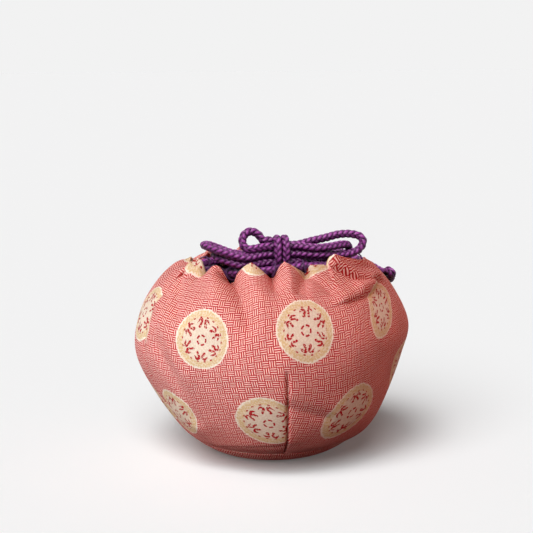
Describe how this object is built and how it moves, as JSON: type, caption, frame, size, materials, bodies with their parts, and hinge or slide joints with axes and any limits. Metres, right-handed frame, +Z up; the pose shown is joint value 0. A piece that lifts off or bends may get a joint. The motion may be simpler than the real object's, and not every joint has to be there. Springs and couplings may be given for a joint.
{
  "type": "drawstring pouch",
  "caption": "Round gathered brocade pouch with a sewn base, a dark lining and a braided purple drawcord tied in a bow over its pleated mouth.",
  "frame": {"origin": "centre of the flat base, on the floor", "axes": "+Z up, -Y towards the front with the dart, +X to the right as seen from the front"},
  "size_m": [0.1148, 0.1063, 0.0973],
  "materials": {
    "brocade": "woven basket pattern with cream medallions",
    "lining_silk": "plain weave",
    "purple_thread": "twisted",
    "purple_braid": "round braid"
  },
  "bodies": {
    "root": {"front_panel": "brocade", "back_panel": "brocade", "base_panel": "brocade", "lining": "lining_silk", "rim_loop_1": "purple_thread", "rim_loop_2": "purple_thread", "rim_loop_3": "purple_thread", "rim_loop_4": "purple_thread", "rim_loop_5": "purple_thread", "rim_loop_6": "purple_thread", "rim_loop_7": "purple_thread", "rim_loop_8": "purple_thread", "rim_loop_9": "purple_thread", "rim_loop_10": "purple_thread", "rim_loop_11": "purple_thread", "rim_loop_12": "purple_thread", "mouth_cord": "purple_braid", "bow_knot": "purple_braid", "bow_loop_small": "purple_braid", "bow_loop_left_outer": "purple_braid", "bow_loop_left_inner": "purple_braid", "bow_loop_right": "purple_braid", "bow_loop_back": "purple_braid"}
  },
  "joints": []
}
